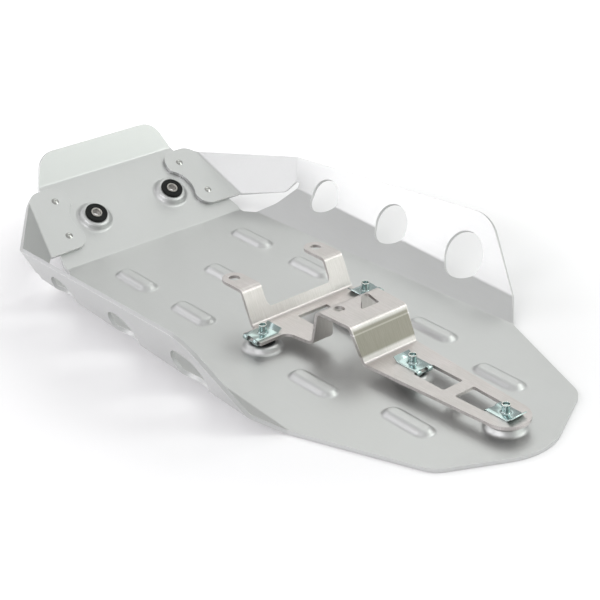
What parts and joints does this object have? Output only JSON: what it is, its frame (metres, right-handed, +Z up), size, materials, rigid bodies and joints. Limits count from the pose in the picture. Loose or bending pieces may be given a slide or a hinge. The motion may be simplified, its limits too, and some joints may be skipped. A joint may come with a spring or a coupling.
{
  "type": "engine guard",
  "caption": "Folded sheet-metal engine guard with raised front and side walls, pressed beads and a bolted bracket that hangs it below a motorbike's engine.",
  "frame": {"origin": "under the middle of the plate, on the plane of the floor's underside", "axes": "+Y towards the tail, -Y towards the raised front wall, +X across to one side wall, +Z up"},
  "size_m": [0.3068, 0.5144, 0.0706],
  "materials": {
    "plate": "satin, finely blasted",
    "bracket": "brushed",
    "rubber": "matte",
    "sleeve": "turned",
    "fastener": "zinc plated",
    "clip": "zinc plated",
    "rivet": "satin"
  },
  "bodies": {
    "root": {"guard_plate": "plate", "mounting_bracket": "bracket", "grommet_front_right": "rubber", "grommet_front_left": "rubber", "grommet_rear": "rubber", "grommet_end": "rubber", "grommet_wall_right": "rubber", "grommet_wall_left": "rubber", "sleeve_front_right": "sleeve", "sleeve_front_left": "sleeve", "sleeve_rear": "sleeve", "sleeve_end": "sleeve", "sleeve_wall_right": "sleeve", "sleeve_wall_left": "sleeve", "bolt_front_right": "fastener", "bolt_front_left": "fastener", "bolt_rear": "fastener", "bolt_end": "fastener", "clip_nut_front_right": "clip", "clip_nut_front_left": "clip", "clip_nut_rear": "clip", "clip_nut_end": "clip", "rivet_upper_right": "rivet", "rivet_upper_left": "rivet", "rivet_lower_right": "rivet", "rivet_lower_left": "rivet"}
  },
  "joints": []
}
